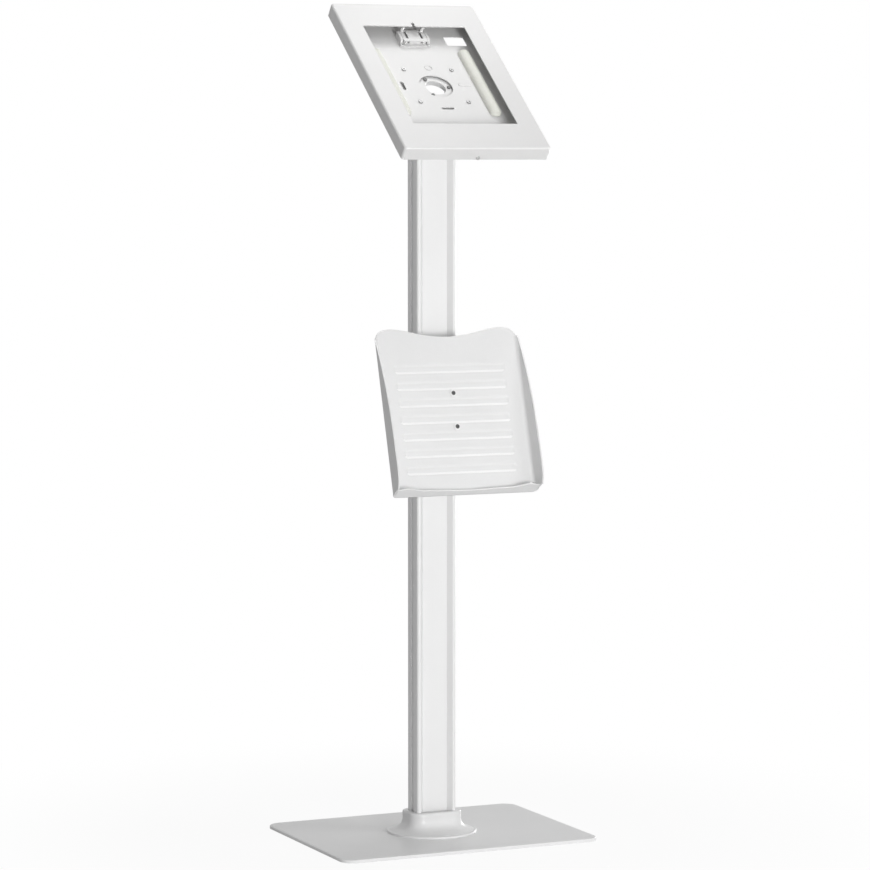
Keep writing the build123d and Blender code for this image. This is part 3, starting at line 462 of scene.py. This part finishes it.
def cut_bar(along_cuts, cross_cuts):
    """A unit cube, cut across its length and then in its width and thickness."""
    shape = bmesh.new()
    bmesh.ops.create_cube(shape, size=1.0)
    lengthwise = [edge for edge in shape.edges if abs(edge_run(edge).y) > 0.5]
    bmesh.ops.subdivide_edges(shape, edges=lengthwise, cuts=along_cuts, use_grid_fill=True)
    crosswise = [edge for edge in shape.edges if abs(edge_run(edge).y) < 0.001]
    bmesh.ops.subdivide_edges(shape, edges=crosswise, cuts=cross_cuts, use_grid_fill=True)
    return shape


def edge_run(edge):
    """The vector from one end of an edge to the other."""
    return edge.verts[0].co - edge.verts[1].co


def round_bar(unit, length):
    """Carry a unit cube's point onto a bar with a domed section and domed ends."""
    point = Vector((unit.x * FOAM_WIDTH, unit.y * length, (unit.z + 0.5) * FOAM_THICK))
    straight = length / 2 - FOAM_END
    beyond = max(0.0, abs(point.y) - straight)
    shares = (2 * abs(point.x) / FOAM_WIDTH, beyond / FOAM_END, point.z / FOAM_THICK)
    size = sum(share ** FOAM_FULLNESS for share in shares) ** (1 / FOAM_FULLNESS)
    if size > 1:
        point.x /= size
        point.z /= size
        if beyond > 0:
            point.y *= (straight + beyond / size) / abs(point.y)
    return point


def foam_bar(name, node, middle, material):
    """One foam bar: a long pad with soft edges, lightly uneven, stuck to the shell's floor."""
    length = FOAM_HIGH - FOAM_LOW
    place = Vector((middle, (FOAM_LOW + FOAM_HIGH) / 2, FOAM_FLOOR))
    shape = cut_bar(int(length / FOAM_STEP), FOAM_ROWS)
    for vertex in shape.verts:
        point = round_bar(vertex.co, length)
        dent = FOAM_DENT * (noise.noise(point / FOAM_WAVE) - 1)
        point.z += dent * point.z / FOAM_THICK
        point.x += dent * point.x / FOAM_WIDTH
        vertex.co = place + point
    mesh = bpy.data.meshes.new(name)
    shape.to_mesh(mesh)
    shape.free()
    mesh.transform(case_matrix())
    piece = add_piece(name, mesh, material, "case")
    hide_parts(node)


def build_foam(material):
    for side, hand in ((-1, "left"), (1, "right")):
        middle = side * (FOAM_INNER + FOAM_WIDTH / 2)
        foam_bar("foam_pad_" + hand, "foam_bar_" + hand, middle, material)


def dress_case():
    # The case frame's rounded bends get a painted highlight.
    case_coat = powder_coat("case powder coat", 0.722, 0.004, axes=(ACROSS, CASE_UP, CASE_OUT))
    dress(case_coat, "case_front_frame")
    shell_coat = powder_coat("shell powder coat", 0.738, 0.004)
    dress(shell_coat, "case_back_shell", "upper_clamp_base", "lower_clamp_base")
    dress(shell_coat, "upper_clamp_jaw", "lower_clamp_jaw", "retaining_ring", "rotation_plate")


def dress_stand():
    # The tray's upward-facing groove slopes get painted light.
    dress(powder_coat("tray powder coat", 0.77, edge=1.6, painted_upward_light=(0.38, 0.9)), "tray", "tray_bracket")
    dress(extruded_coat("column coat", 0.82), "column")
    dress(extruded_coat("strip coat", 0.82), "front_strip_lower", "front_strip_upper", "rear_strip")
    # The plate's rounded edges get a painted highlight.
    plate_coat = powder_coat(
        "plate powder coat", 0.80, grain=900.0, depth=0.04, rough=0.42, axes=(ACROSS, BACK, UP))
    dress(plate_coat, "base_plate")
    dress(moulded_plastic("grey moulding", 0.75), "base_cover")
    dress(powder_coat("cast head coat", 0.7, grain=1100.0, depth=0.05), "column_head", "tilt_bracket")


def dress_small_pieces():
    """Pads, washers, spacers and fasteners."""
    dress(soft_rubber("pad rubber"), "base_feet")
    nylon = turned_nylon("nylon")
    dress(nylon, "plate_spacers", "tilt_friction_washers", "rotation_friction_ring", "tray_spacers")
    zinc = zinc_plate("zinc plate")
    dress(zinc, "base_screws", "head_screws", "tray_nuts", "bracket_screws", "security_nut")
    dress(zinc, "bracket_t_nuts", "tilt_bolt", "tilt_nut", "tilt_washers", "rotation_stop_pin")
    dress(zinc, "upper_clamp_screws", "lower_clamp_screws", "security_screw")
    dress(blackened_steel("black oxide"), "ring_screws")
    dress(coated_screw("coated screws", 0.84), "tray_screws")
    dress(zinc_plate("dull zinc", 0.36), "case_screws")


def build_floor():
    bpy.ops.mesh.primitive_plane_add(size=FLOOR_SIZE, location=(0, 0, 0))
    floor = bpy.context.object
    floor.name = "studio_floor"
    floor.data.materials.append(white_paper("white paper"))


def build_surroundings():
    """White where the camera or a gloss looks, and dimmer as light on the stand."""
    world = bpy.data.worlds.new("white studio")
    bpy.context.scene.world = world
    world.use_nodes = True
    graph = Graph(world.node_tree)
    dim = graph.node("ShaderNodeBackground", {"Color": grey(1.0), "Strength": AMBIENT})
    bright = graph.node("ShaderNodeBackground", {"Color": grey(1.0), "Strength": 1.0})
    camera_ray = graph.node("ShaderNodeLightPath", out="Is Camera Ray")
    glossy_ray = graph.node("ShaderNodeLightPath", out="Is Glossy Ray")
    seen = camera_ray.most(glossy_ray)
    graph.show(graph.node("ShaderNodeMixShader", {0: seen, 1: dim, 2: bright}), "World Output")


def add_lamp(name, place, aim, size, power):
    """A square lamp at a place, turned to face its aim."""
    lamp = bpy.data.lights.new(name, "AREA")
    lamp.size = size
    lamp.energy = power
    holder = bpy.data.objects.new(name, lamp)
    bpy.context.scene.collection.objects.link(holder)
    holder.location = place
    holder.rotation_euler = (place - aim).to_track_quat("Z", "Y").to_euler()


def build_lamps():
    key_place = STAND_MIDDLE + KEY_DIRECTION.normalized() * KEY_DISTANCE
    fill_place = STAND_MIDDLE + FILL_DIRECTION * FILL_DISTANCE
    rear_place = STAND_MIDDLE + REAR_DIRECTION * FILL_DISTANCE
    add_lamp("key lamp", key_place, STAND_MIDDLE, KEY_SIZE, KEY_POWER)
    add_lamp("front fill", fill_place, STAND_MIDDLE, FILL_SIZE, FILL_POWER)
    add_lamp("rear fill", rear_place, STAND_MIDDLE, FILL_SIZE, REAR_POWER)
    add_lamp("upper lamp", UPPER_PLACE, UPPER_AIM, UPPER_SIZE, UPPER_POWER)


def build_camera():
    """The photograph's camera: level in roll, pitched down a little."""
    level_ahead = Vector((sin(CAMERA_YAW), cos(CAMERA_YAW), 0))
    right = Vector((cos(CAMERA_YAW), -sin(CAMERA_YAW), 0))
    ahead = level_ahead * cos(CAMERA_PITCH) - UP * sin(CAMERA_PITCH)
    up = right.cross(ahead)
    place = CAMERA_ASIDE * right - CAMERA_DISTANCE * level_ahead + CAMERA_HEIGHT * UP
    camera = bpy.data.cameras.new("photo camera")
    camera.sensor_width = SENSOR_MM
    camera.lens = FOCAL_PIXELS * SENSOR_MM / PHOTO_PIXELS
    camera.clip_end = CAMERA_REACH
    holder = bpy.data.objects.new("photo camera", camera)
    bpy.context.scene.collection.objects.link(holder)
    turn = Matrix((right, up, -ahead)).transposed()
    holder.matrix_world = Matrix.Translation(place) @ turn.to_4x4()
    bpy.context.scene.camera = holder


bpy.context.scene.view_settings.view_transform = "Standard"
dress_case()
dress_stand()
dress_small_pieces()
build_foam(closed_cell_foam("foam"))
build_floor()
build_surroundings()
build_lamps()
build_camera()
